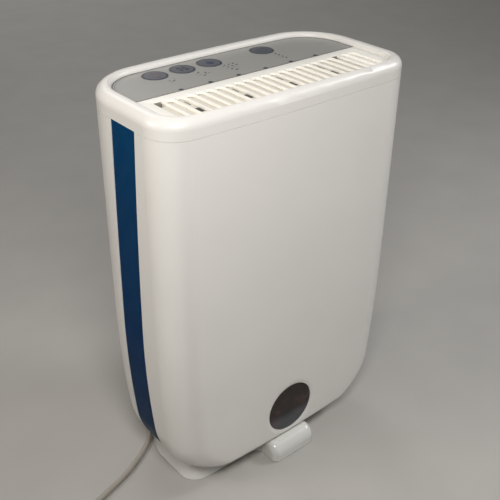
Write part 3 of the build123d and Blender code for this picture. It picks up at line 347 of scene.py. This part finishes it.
def flat_curve(name, outlines, z_mid, half_height, edge):
    """Closed outlines in X and Y, the first one outside and the rest holes, as a plate with rounded edges.
    Returns its mesh. Lengths in mm; edge is the rounding's radius."""
    curve = bpy.data.curves.new(name, "CURVE")
    curve.dimensions = "2D"
    curve.fill_mode = "BOTH"
    for points in outlines:
        spline = curve.splines.new("POLY")
        spline.points.add(len(points) - 1)
        for point, (x, y) in zip(spline.points, points):
            point.co = (x * MM, y * MM, 0.0, 1.0)
        spline.use_cyclic_u = True
    curve.extrude = (half_height - edge) * MM
    curve.bevel_depth = edge * MM
    curve.bevel_resolution = 3
    curve.offset = -edge * MM
    holder = bpy.data.objects.new(name, curve)
    bpy.context.scene.collection.objects.link(holder)
    bpy.context.view_layer.update()
    mesh = bpy.data.meshes.new_from_object(holder.evaluated_get(bpy.context.evaluated_depsgraph_get()))
    bpy.data.objects.remove(holder)
    mesh.transform(Matrix.Translation((0, 0, z_mid * MM)))
    tidy = bmesh.new()
    tidy.from_mesh(mesh)
    bmesh.ops.remove_doubles(tidy, verts=tidy.verts, dist=1e-6)
    bmesh.ops.recalc_face_normals(tidy, faces=tidy.faces)
    tidy.to_mesh(mesh)
    tidy.free()
    return mesh


def add_box(bm, x0, x1, y0, y1, z0, z1, bevel=0.0):
    """A box in mm with rounded edges, added to bm."""
    part = bmesh.new()
    centre = Matrix.Translation(((x0 + x1) / 2 * MM, (y0 + y1) / 2 * MM, (z0 + z1) / 2 * MM))
    size = Matrix.Diagonal(((x1 - x0) * MM, (y1 - y0) * MM, (z1 - z0) * MM, 1))
    bmesh.ops.create_cube(part, size=1.0, matrix=centre @ size)
    if bevel:
        bmesh.ops.bevel(part, geom=part.edges[:], offset=bevel * MM, segments=3, affect="EDGES", profile=0.5)
    scratch = bpy.data.meshes.new("scratch")
    part.to_mesh(scratch)
    part.free()
    bm.from_mesh(scratch)
    bpy.data.meshes.remove(scratch)


def add_mesh(bm, mesh):
    bm.from_mesh(mesh)
    bpy.data.meshes.remove(mesh)


def circle(x, y, r, count=48, start=0.0, turn=360.0):
    """Points round a circle, or along part of it with both ends, in mm."""
    last = count if turn >= 360 else count - 1
    return [(x + r * math.cos(math.radians(start + turn * i / last)),
             y + r * math.sin(math.radians(start + turn * i / last))) for i in range(count)]


def band(x, y, r0, r1, start, turn, count=40):
    """Outline of part of a ring."""
    return circle(x, y, r1, count, start, turn) + circle(x, y, r0, count, start, turn)[::-1]


def round_rect(x0, x1, y0, y1, r, count=7):
    points = []
    corners = ((x1 - r, y1 - r, 0), (x0 + r, y1 - r, 90), (x0 + r, y0 + r, 180), (x1 - r, y0 + r, 270))
    for cx, cy, start in corners:
        points += circle(cx, cy, r, count, start, 90.0)
    return points


def deck_outline(inset, count=18):
    """The deck's outline as points, counter-clockwise from the rear right, with bowed long sides."""
    half_w, half_d = DECK_W - inset, DECK_D - inset

    def quarter(r):
        chord = half_w - r
        bow_r = (chord ** 2 + DECK_BOW ** 2) / (2 * DECK_BOW)
        bow_y = half_d - bow_r
        centre = (chord, bow_y + math.sqrt((bow_r - r) ** 2 - chord ** 2))
        tip = math.atan2(centre[1] - bow_y, centre[0])
        corner = [(centre[0] + r * math.cos(tip * i / count), centre[1] + r * math.sin(tip * i / count))
                  for i in range(count + 1)]
        turns = [tip + (math.pi / 2 - tip) * i / count for i in range(1, count + 1)]
        return corner + [(bow_r * math.cos(a), bow_y + bow_r * math.sin(a)) for a in turns]
    rear, front = quarter(DECK_REAR_R), quarter(DECK_FRONT_R)
    points = rear + [(-x, y) for x, y in rear[::-1][1:]]
    points += [(-x, -y) for x, y in front] + [(x, -y) for x, y in front[::-1][1:]]
    return [(x, y + DECK_Y) for x, y in points]


def clip_at(points, y, keep_above):
    """Cuts a closed outline at a line of constant y and keeps one side."""
    kept = []
    for (x0, y0), (x1, y1) in zip(points, points[1:] + points[:1]):
        inside0, inside1 = (y0 > y) == keep_above, (y1 > y) == keep_above
        if inside0:
            kept.append((x0, y0))
        if inside0 != inside1:
            k = (y - y0) / (y1 - y0)
            kept.append((x0 + (x1 - x0) * k, y))
    return kept


def side_inset(z):
    """The same inward curve of the sides as in the CAD."""
    if z >= STRAIGHT_Z:
        return 0.0
    if z >= HAUNCH_Z:
        return SIDE_R - math.sqrt(SIDE_R ** 2 - (STRAIGHT_Z - z) ** 2)
    sine = (STRAIGHT_Z - HAUNCH_Z) / SIDE_R
    at_haunch = SIDE_R - math.sqrt(SIDE_R ** 2 - (STRAIGHT_Z - HAUNCH_Z) ** 2)
    lower = sine + (HAUNCH_Z - z) / HAUNCH_R
    return at_haunch + HAUNCH_R * (math.sqrt(1 - sine ** 2) - math.sqrt(1 - lower ** 2))


def arc_y(ends, z):
    """The y of a strip's edge at height z, on the arc through three (y, z) points."""
    (y0, z0), (y1, z1), (y2, z2) = ends
    a = y0 * (z - z1) * (z - z2) / ((z0 - z1) * (z0 - z2))
    b = y1 * (z - z0) * (z - z2) / ((z1 - z0) * (z1 - z2))
    return a + b + y2 * (z - z0) * (z - z1) / ((z2 - z0) * (z2 - z1))


# ---------------------------------------------------------------- camera, floor and light
CAMERA_PLACE = (-0.53981, -0.64928, 0.78207)        # metres
CAMERA_YAW, CAMERA_PITCH, CAMERA_ROLL = 39.87, 31.17, -0.71
CAMERA_LENS, CAMERA_SENSOR = 56.24, 36.0
FLOOR_HALF = 6.0                                    # metres


def camera():
    """The camera at the viewing angle of the reference: turned from +Y to +X, tipped down and rolled."""
    yaw, pitch, roll = math.radians(CAMERA_YAW), math.radians(CAMERA_PITCH), math.radians(CAMERA_ROLL)
    ahead = Vector((math.sin(yaw) * math.cos(pitch), math.cos(yaw) * math.cos(pitch), -math.sin(pitch)))
    level = Vector((math.cos(yaw), -math.sin(yaw), 0))
    below = ahead.cross(level)
    right = math.cos(roll) * level + math.sin(roll) * below
    down = -math.sin(roll) * level + math.cos(roll) * below
    data = bpy.data.cameras.new("camera")
    data.sensor_width = CAMERA_SENSOR
    data.lens = CAMERA_LENS
    cam = bpy.data.objects.new("camera", data)
    turn = Matrix((right, -down, -ahead)).transposed().to_4x4()
    cam.matrix_world = Matrix.Translation(CAMERA_PLACE) @ turn
    bpy.context.scene.collection.objects.link(cam)
    bpy.context.scene.camera = cam


def area_light(name, place, aim, size, power, color):
    """A round soft light, places and size in metres."""
    data = bpy.data.lights.new(name, "AREA")
    data.shape = "DISK"
    data.size = size
    data.energy = power
    data.color = color
    lamp = bpy.data.objects.new(name, data)
    lamp.location = place
    lamp.rotation_euler = (Vector(aim) - Vector(place)).to_track_quat("-Z", "Y").to_euler()
    bpy.context.scene.collection.objects.link(lamp)


camera()
area_light("key", (-0.42, -0.55, 0.95), (0, 0, 0.3), 0.3, 5.6, (1.0, 0.985, 0.96))
area_light("side", (-0.9, 0.2, 0.9), (-0.1, 0, 0.4), 0.35, 3.3, (1.0, 0.94, 0.86))
area_light("fill", (1.2, -0.6, 1.2), (0, 0, 0.3), 0.5, 9.5, (0.98, 0.985, 1.0))
area_light("rear", (1.0, 3.2, 2.6), (0.9, 2.2, 0.0), 2.0, 30.0, (1.0, 0.99, 0.98))
world = bpy.data.worlds.new("studio")
bpy.context.scene.world = world
world.use_nodes = True
background = world.node_tree.nodes["Background"]
background.inputs["Color"].default_value = (0.93, 0.94, 0.96, 1)
background.inputs["Strength"].default_value = 0.13
bpy.context.scene.view_settings.view_transform = "Standard"

floor_mesh = bpy.data.meshes.new("floor")
floor_mesh.from_pydata([(x * FLOOR_HALF, y * FLOOR_HALF, 0) for x, y in ((-1, -1), (1, -1), (1, 1), (-1, 1))],
                       [], [(0, 1, 2, 3)])
floor = bpy.data.objects.new("floor", floor_mesh)
bpy.context.scene.collection.objects.link(floor)
floor_mesh.materials.append(
    plastic("floor_paint", "b2afaa", rough=0.7, vary=0.04, grain=0.2, grain_scale=300.0))


# ---------------------------------------------------------------- cord
COIL_SHIFT = 0.2                        # turns over which the cord moves from one ring to the next


def coil_points(per_turn=20):
    """Control points of the put-away turns: the bottom layer goes from outside in, the top one back out."""
    rings = [(r, COIL_LAYERS[0]) for r in COIL_ROWS] + [(r, COIL_LAYERS[1]) for r in reversed(COIL_ROWS)]
    share = COIL_TURNS / len(rings)
    steps = round(COIL_TURNS * per_turn)
    points = []
    for i in range(1, steps):
        turns = COIL_TURNS * i / steps
        r, z = rings[0]
        for k, (next_r, next_z) in enumerate(rings[1:], 1):
            blend = min(1.0, max(0.0, (turns - share * k) / COIL_SHIFT + 0.5))
            blend = blend * blend * (3 - 2 * blend)
            r += (next_r - rings[k - 1][0]) * blend
            z += (next_z - rings[k - 1][1]) * blend
        angle = math.radians(COIL_START + 360 * turns)
        points.append((COIL_X + r * math.cos(angle), COIL_Y + r * math.sin(angle), z))
    return points


def cord_piece():
    curve = bpy.data.curves.new("cord", "CURVE")
    curve.dimensions = "3D"
    points = CORD_ROUTE + coil_points() + TAIL_ROUTE
    spline = curve.splines.new("NURBS")
    spline.points.add(len(points) - 1)
    for point, place in zip(spline.points, points):
        point.co = (place[0] * MM, place[1] * MM, place[2] * MM, 1.0)
    spline.order_u = 3
    spline.use_endpoint_u = True
    spline.resolution_u = 6
    curve.bevel_depth = CORD_D / 2 * MM
    curve.bevel_resolution = 6
    curve.use_fill_caps = True
    curve.materials.append(MATERIALS["cord"])
    obj = bpy.data.objects.new("cord", curve)
    bpy.context.scene.collection.objects.link(obj)
    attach(obj, "housing")
    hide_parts("power_cord", "cord_coil")
    return obj


# ---------------------------------------------------------------- side strips with their pressed ripple
STRIP_FRONT = ((-36.0, 488.0), (-26.8, 330.0), (-24.0, 30.0))       # (y, z) along its front edge
STRIP_REAR = ((8.0, 488.0), (15.0, 330.0), (18.0, 30.0))
STRIP_LOW, STRIP_HIGH = 31.4, 487.4
STRIP_ROWS, STRIP_COLUMNS = 300, 26
STRIP_SINK, STRIP_THICK = 0.45, 0.9     # depth of its face below the shell, and its thickness
STRIP_PLAY = 0.25
RIPPLE_LIFT, EDGE_DROP = 0.22, 0.25


def ripple(y, z):
    """Height of the pressed pattern: slanting waves that bend and change their spacing slowly."""
    bend = 5.0 * math.sin(z / 41.0) + 3.0 * math.sin(y / 9.0 + z / 67.0)
    phase = (z + 1.15 * y + bend) / 6.4
    return math.sin(phase) + 0.45 * math.sin(phase * 0.53 + 1.3 + y / 13.0)


def strip_piece(side):
    """One strip as a closed plate with the ripple on its outer face; side is -1 for left and 1 for right."""
    bm = bmesh.new()
    rows, columns = STRIP_ROWS, STRIP_COLUMNS
    fronts, backs = [], []
    for i in range(rows + 1):
        z = STRIP_LOW + (STRIP_HIGH - STRIP_LOW) * i / rows
        y0, y1 = arc_y(STRIP_FRONT, z) + STRIP_PLAY, arc_y(STRIP_REAR, z) - STRIP_PLAY
        skin = HALF_W - side_inset(z) - STRIP_SINK
        front_row, back_row = [], []
        for j in range(columns + 1):
            y = y0 + (y1 - y0) * j / columns
            edge = min(j, columns - j, i, rows - i)
            lift = RIPPLE_LIFT * ripple(y, z) if edge > 1 else -EDGE_DROP if edge == 0 else 0.0
            front_row.append(bm.verts.new((side * (skin + lift) * MM, y * MM, z * MM)))
            back_row.append(bm.verts.new((side * (skin - STRIP_THICK) * MM, y * MM, z * MM)))
        fronts.append(front_row)
        backs.append(back_row)
    for i in range(rows):
        for j in range(columns):
            bm.faces.new((fronts[i][j], fronts[i][j + 1], fronts[i + 1][j + 1], fronts[i + 1][j]))
            bm.faces.new((backs[i][j], backs[i + 1][j], backs[i + 1][j + 1], backs[i][j + 1]))
        for j in (0, columns):
            bm.faces.new((fronts[i][j], fronts[i + 1][j], backs[i + 1][j], backs[i][j]))
    for i in (0, rows):
        for j in range(columns):
            bm.faces.new((fronts[i][j], backs[i][j], backs[i][j + 1], fronts[i][j + 1]))
    bmesh.ops.recalc_face_normals(bm, faces=bm.faces)
    name = "side_strip_" + ("left" if side < 0 else "right")
    obj = piece(name + "_embossed", bm, MATERIALS["strip"], "housing", smooth=50.0)
    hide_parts(name)


for side in (-1, 1):
    strip_piece(side)

# ---------------------------------------------------------------- outlet grille with rounded slots
GRILLE_INSET, GRILLE_GAP = 0.2, 0.35    # play towards the cap and towards the panel
RIB_EDGE = 0.45
SLOT_ROUND, NOTCH_ROUND, NOTCH_TAIL = 4.3, 1.0, 2.0     # rear ends of the slots
FRONT_ROUND, OUTER_ROUND = 1.5, 4.0                     # front corners, and those at the grille's two ends
PAN_X0, PAN_X1, PAN_SET_BACK, PAN_T = 121.9, 141.8, 6.0, 1.5        # closed floor beside the louvre
STOP_OVERLAP, STOP_BELOW, STOP_SINK = 0.4, 5.5, 0.7
STOP_Y0, STOP_Y1 = SLOT_Y1 + 1.5, SLOT_Y1 + 2.6
CUP_PLAY, CUP_EDGE = 0.05, 0.05
CUP_Z0, CUP_Z1, SLIT_Z1 = RIB_Z - 1.6, RIB_Z - 0.45, RIB_Z - 0.5


def slot_x(i):
    return (i + 0.5 - SLOTS / 2) * SLOT_PITCH


def slot_outline(i):
    x0, x1 = slot_x(i) - SLOT_W / 2, slot_x(i) + SLOT_W / 2
    corner = NOTCH_ROUND if i in NOTCH_SLOTS else SLOT_ROUND
    rear = SLOT_Y1 + (NOTCH_TAIL if i in NOTCH_SLOTS else 0.0)
    left = OUTER_ROUND if i == 0 else FRONT_ROUND
    right = OUTER_ROUND if i == SLOTS - 1 else FRONT_ROUND
    return (circle(x1 - corner, rear - corner, corner, 9, 0, 90)
            + circle(x0 + corner, rear - corner, corner, 9, 90, 90)
            + circle(x0 + left, SLOT_Y0 + left, left, 7, 180, 90)
            + circle(x1 - right, SLOT_Y0 + right, right, 7, 270, 90))


def grille_piece():
    outlines = [clip_at(deck_outline(GRILLE_INSET), PANEL_Y - GRILLE_GAP, False)]
    outlines += [slot_outline(i) for i in range(SLOTS)]
    thick = DECK_Z - RIB_Z
    bm = bmesh.new()
    add_mesh(bm, flat_curve("grille_plate", outlines, RIB_Z + thick / 2, thick / 2, RIB_EDGE))
    add_box(bm, PAN_X0, PAN_X1, SLOT_Y0 + PAN_SET_BACK, SLOT_Y1, RIB_Z - PAN_T, RIB_Z, 0.2)
    obj = piece("outlet_grille_rounded", bm, MATERIALS["grille"], "housing", smooth=40.0)
    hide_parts("outlet_grille")


def painted_shade_stops():
    """Plates where the louvre's edge meets the wall at the rear ends of two slots; their grey is painted
    shade of the deep notch.
    """
    bm = bmesh.new()
    for i in NOTCH_SLOTS:
        x, half = slot_x(i), SLOT_W / 2 + STOP_OVERLAP
        add_box(bm, x - half, x + half, STOP_Y0, STOP_Y1, RIB_Z - STOP_BELOW, DECK_Z - STOP_SINK, 0.15)
    piece("painted_shade_stops", bm, MATERIALS["stop"], "housing", smooth=40.0)


def painted_shade_cups():
    """Dark pads in the louvre's openings and slits, just below its face: painted shade of the dark inside."""
    openings = ((-SLOT_W / 2, SLOT_W / 2, CUP_Y0, CUP_Y1, CUP_Z1),
                (SLIT_X0, SLIT_X1, SLIT_Y0, SLIT_Y1, SLIT_Z1))
    bm = bmesh.new()
    for i in CUP_SLOTS:
        x = slot_x(i)
        for x0, x1, y0, y1, top in openings:
            add_box(bm, x + x0 + CUP_PLAY, x + x1 - CUP_PLAY, y0 + CUP_PLAY, y1 - CUP_PLAY,
                    CUP_Z0, top, CUP_EDGE)
    piece("painted_shade_cups", bm, MATERIALS["black_plastic"], "louvre", smooth=40.0)


grille_piece()
painted_shade_stops()
painted_shade_cups()


# ---------------------------------------------------------------- panel edge, key rings and printed signs
THICK_INK, THIN_INK, INK_EDGE = 0.07, 0.05, 0.02
RING_INSETS, SEAT_INSETS = (0.55, 1.95), (-0.75, -0.3)      # from the key's radius


def printed(name, shapes, ink, body, z, height=THICK_INK):
    """Flat printed shapes as thin raised pads. Each shape is a list of outlines, the outer one first."""
    bm = bmesh.new()
    for outlines in shapes:
        add_mesh(bm, flat_curve(name, outlines, z + height / 2, height / 2, INK_EDGE))
    piece(name, bm, INK[ink], body, smooth=30.0)


def panel_line(name, ink, insets, gaps, height):
    """A line all round the panel: insets are from the deck's outline, gaps from the panel's front edge."""
    line = [clip_at(deck_outline(inset, 24), PANEL_Y + gap, True) for inset, gap in zip(insets, gaps)]
    printed(name, [line], ink, "housing", DECK_Z, height)


def key_ring(x, insets):
    return [[circle(x, KEY_Y, KEY_R - inset, 72) for inset in insets]]


panel_line("panel_edge_line", "edge", (0.3, 1.0), (0.05, 0.45), THICK_INK)
panel_line("panel_hair_line", "soft", (2.2, 2.6), (1.6, 2.0), THIN_INK)
for sign, x in KEY_X.items():
    printed("ring_" + sign, key_ring(x, RING_INSETS), "ring", sign + "_key", KEY_TOP)
    printed("seat_line_" + sign, key_ring(x, SEAT_INSETS), "edge", "housing", DECK_Z, THIN_INK)


def blade(x, y, start, r0=1.6, length=6.2, steps=14):
    """One leaf of the fan sign, a bulging petal off to one side of its spoke."""
    shares = [i / steps for i in range(steps + 1)]
    points = [(r0 + length * t, start + 52.0 * math.sin(math.pi * t * 0.75)) for t in shares]
    points += [(r0 + length * (1 - t), start - 6.0 * math.sin(math.pi * (1 - t))) for t in shares]
    return [(x + r * math.cos(math.radians(a)), y + r * math.sin(math.radians(a))) for r, a in points]


def drop(x, y, r):
    """A water drop, point towards the rear."""
    round_part = circle(x, y - r * 0.35, r, 28, 150, 240)
    return round_part + [(x, y + r * 1.75)]


def bar(x0, x1, y0, y1, r=0.5):
    """A rounded bar placed from a key's centre."""
    return [round_rect(x0, x1, KEY_Y + y0, KEY_Y + y1, r)]


x = KEY_X["power"]
printed("sign_power", [[band(x, KEY_Y, 5.4, 7.2, 122, 296)], bar(x - 0.9, x + 0.9, 2.2, 9.0, 0.8)],
        "red", "power_key", KEY_TOP)
x = KEY_X["fan"]
printed("sign_fan", [[blade(x, KEY_Y, a)] for a in (20, 110, 200, 290)] + [[circle(x, KEY_Y, 1.4, 20)]],
        "dark", "fan_key", KEY_TOP)
printed("sign_drop", [[drop(KEY_X["humidity"], KEY_Y, 4.6)]], "blue", "humidity_key", KEY_TOP)
x = KEY_X["timer"]
printed("sign_timer", [[circle(x, KEY_Y, 7.0, 48), circle(x, KEY_Y, 5.7, 48)],
                       bar(x - 0.55, x + 0.55, -0.5, 4.6), bar(x + 0.3, x + 3.4, -0.55, 0.55)],
        "ring", "timer_key", KEY_TOP)

# Small printed marks beside the light pipes, as plain bars and dots: x, y, width, height
MARKS = [(-89.5, 27.0, 3.0, 0.9), (-90.5, 22.0, 2.6, 0.9), (-82.5, 28.5, 1.6, 1.6), (-53.0, 27.0, 3.2, 0.9),
         (-52.5, 22.5, 3.0, 0.9), (-45.5, 21.5, 2.6, 1.2), (-40.5, 23.0, 3.0, 1.0), (-15.5, 30.0, 3.0, 0.9),
         (-15.5, 22.5, 2.6, 0.9), (-13.5, 16.0, 2.8, 0.9), (-5.5, 21.5, 2.8, 1.1), (-5.0, 15.5, 3.0, 1.0),
         (4.6, 29.5, 1.6, 1.0), (60.5, 28.0, 3.0, 0.9), (60.5, 21.5, 3.0, 0.9), (60.5, 15.0, 3.0, 0.9)]
printed("panel_marks", [[round_rect(x - w / 2, x + w / 2, y - h / 2, y + h / 2, min(w, h) / 2 - 0.05)]
                        for x, y, w, h in MARKS], "dark", "housing", DECK_Z, THIN_INK)


# ---------------------------------------------------------------- filter mesh
YARN_PITCH, YARN_R, BAR_HALF = 2.6, 0.28, 3.0


def strand(bm, start, end, radius, upright):
    """A thin six-sided yarn from start to end, upright or level along X."""
    rings = []
    for place in (start, end):
        ring = []
        for k in range(6):
            a = math.radians(60 * k)
            u, v = radius * math.cos(a), radius * math.sin(a)
            shift = (u, v, 0) if upright else (0, u, v)
            ring.append(bm.verts.new(Vector(place) + Vector(shift)))
        rings.append(ring)
    for k in range(6):
        bm.faces.new((rings[0][k], rings[0][(k + 1) % 6], rings[1][(k + 1) % 6], rings[1][k]))
    bm.faces.new(rings[0][::-1])
    bm.faces.new(rings[1])


def weave_piece():
    """Crossed yarns in both panes, on either side of the frame's middle bar."""
    lo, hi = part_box("filter_mesh")
    bm = bmesh.new()
    pitch, yarn = YARN_PITCH * MM, YARN_R * MM
    middle = (lo[1] + hi[1]) / 2
    for x0, x1 in ((lo[0], -BAR_HALF * MM), (BAR_HALF * MM, hi[0])):
        columns, rows = round((x1 - x0) / pitch), round((hi[2] - lo[2]) / pitch)
        for i in range(1, columns):
            x = x0 + (x1 - x0) * i / columns
            strand(bm, (x, middle, lo[2]), (x, middle, hi[2]), yarn, True)
        for i in range(1, rows):
            z = lo[2] + (hi[2] - lo[2]) * i / rows
            strand(bm, (x0, middle + yarn * 0.8, z), (x1, middle + yarn * 0.8, z), yarn, False)
    obj = piece("filter_weave", bm, MATERIALS["mesh"], "filter", smooth=60.0)
    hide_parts("filter_mesh")


weave_piece()


# ---------------------------------------------------------------- ribbed strain relief
def lathe_y(name, profile, x, z, material, body, segments=48):
    """A turned piece about an axis along Y. The profile is a closed list of (y, radius) in mm."""
    bm = bmesh.new()
    rings = []
    angles = [2 * math.pi * k / segments for k in range(segments)]
    for y, r in profile:
        rings.append([bm.verts.new(((x + r * math.cos(a)) * MM, y * MM, (z + r * math.sin(a)) * MM))
                      for a in angles])
    for ring, other in zip(rings, rings[1:] + rings[:1]):
        for k in range(segments):
            bm.faces.new((ring[k], ring[(k + 1) % segments], other[(k + 1) % segments], other[k]))
    bmesh.ops.recalc_face_normals(bm, faces=bm.faces)
    return piece(name, bm, material, body, smooth=40.0)


BOOT_START, BOOT_END = 43.2, 82.9
BOOT_RIBS, RIBS_Y0, RIBS_Y1 = 6, 63.0, 82.0
RIB_R0, RIB_R1 = 6.6, 4.7


def boot_piece():
    """A flange inside the base, a neck through its wall, and tapering ribs outside."""
    bore = CORD_D / 2 - 0.05
    outside = [(BOOT_START, 7.9), (45.9, 7.9), (46.0, 5.4), (61.2, 5.4), (61.6, 6.8)]
    step = (RIBS_Y1 - RIBS_Y0) / BOOT_RIBS
    for i in range(BOOT_RIBS):
        y = RIBS_Y0 + step * i
        r = RIB_R0 + (RIB_R1 - RIB_R0) * i / (BOOT_RIBS - 1)
        outside += [(y, r), (y + step * 0.55, r - 0.15),
                    (y + step * 0.62, r - 1.0), (y + step * 0.92, r - 1.05)]
    outside += [(82.4, 4.5), (BOOT_END, 4.1)]
    boot = lathe_y("cord_boot", [(BOOT_START, bore)] + outside + [(BOOT_END, bore)], CORD_EXIT[0],
                   CORD_EXIT[2], MATERIALS["cord"], "housing")
    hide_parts("strain_relief")
    return boot


boot = boot_piece()
cord = cord_piece()
